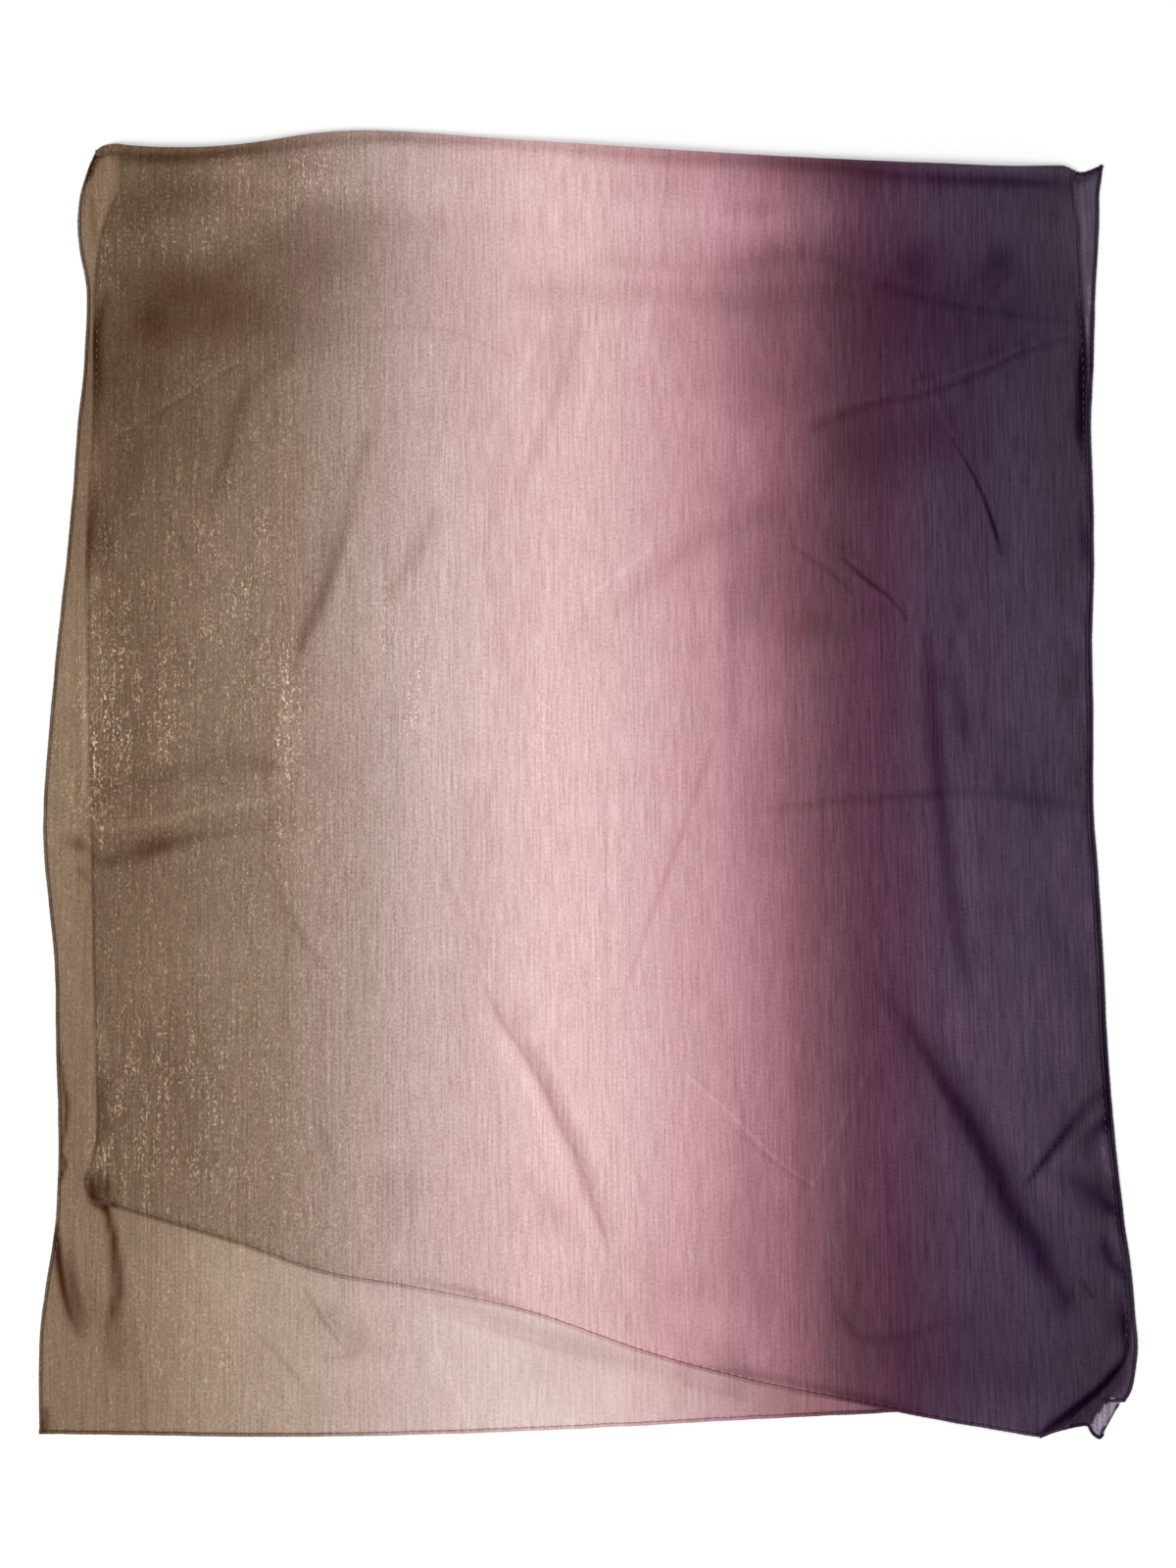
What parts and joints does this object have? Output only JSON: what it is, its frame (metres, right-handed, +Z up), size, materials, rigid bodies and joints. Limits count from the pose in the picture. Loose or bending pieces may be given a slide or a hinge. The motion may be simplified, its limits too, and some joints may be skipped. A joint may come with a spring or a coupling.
{
  "type": "long folded scarf hijab",
  "caption": "Long light scarf in sheer shimmering ombre cloth, folded once across and laid flat in two layers, with narrow rolled hems.",
  "frame": {"origin": "under the middle of the scarf's box, on the surface that it lies on", "axes": "+X across the cloth, from the taupe side to the plum side; +Y from the near ends to the fold; +Z up"},
  "size_m": [0.7374, 0.8902, 0.0094],
  "materials": {
    "cloth": "sheer slubbed cloth with a metallic shimmer, dyed from taupe through rose to deep plum across its width",
    "hem_taupe": "narrow rolled hem of the same cloth",
    "hem_plum": "narrow rolled hem of the same cloth",
    "hem_end": "narrow rolled hem of the same cloth",
    "cloth_wrong_side": "wrong side of the cloth, paler and more silvery"
  },
  "bodies": {
    "root": {"lower_layer": "cloth", "upper_layer": "cloth", "fold_bend": "cloth", "hem_lower_left": "hem_taupe", "hem_upper_left": "hem_taupe", "hem_lower_right": "hem_plum", "hem_upper_right": "hem_plum", "hem_lower_end": "hem_end", "hem_upper_end": "hem_end", "turned_corner": "cloth_wrong_side"}
  },
  "joints": []
}
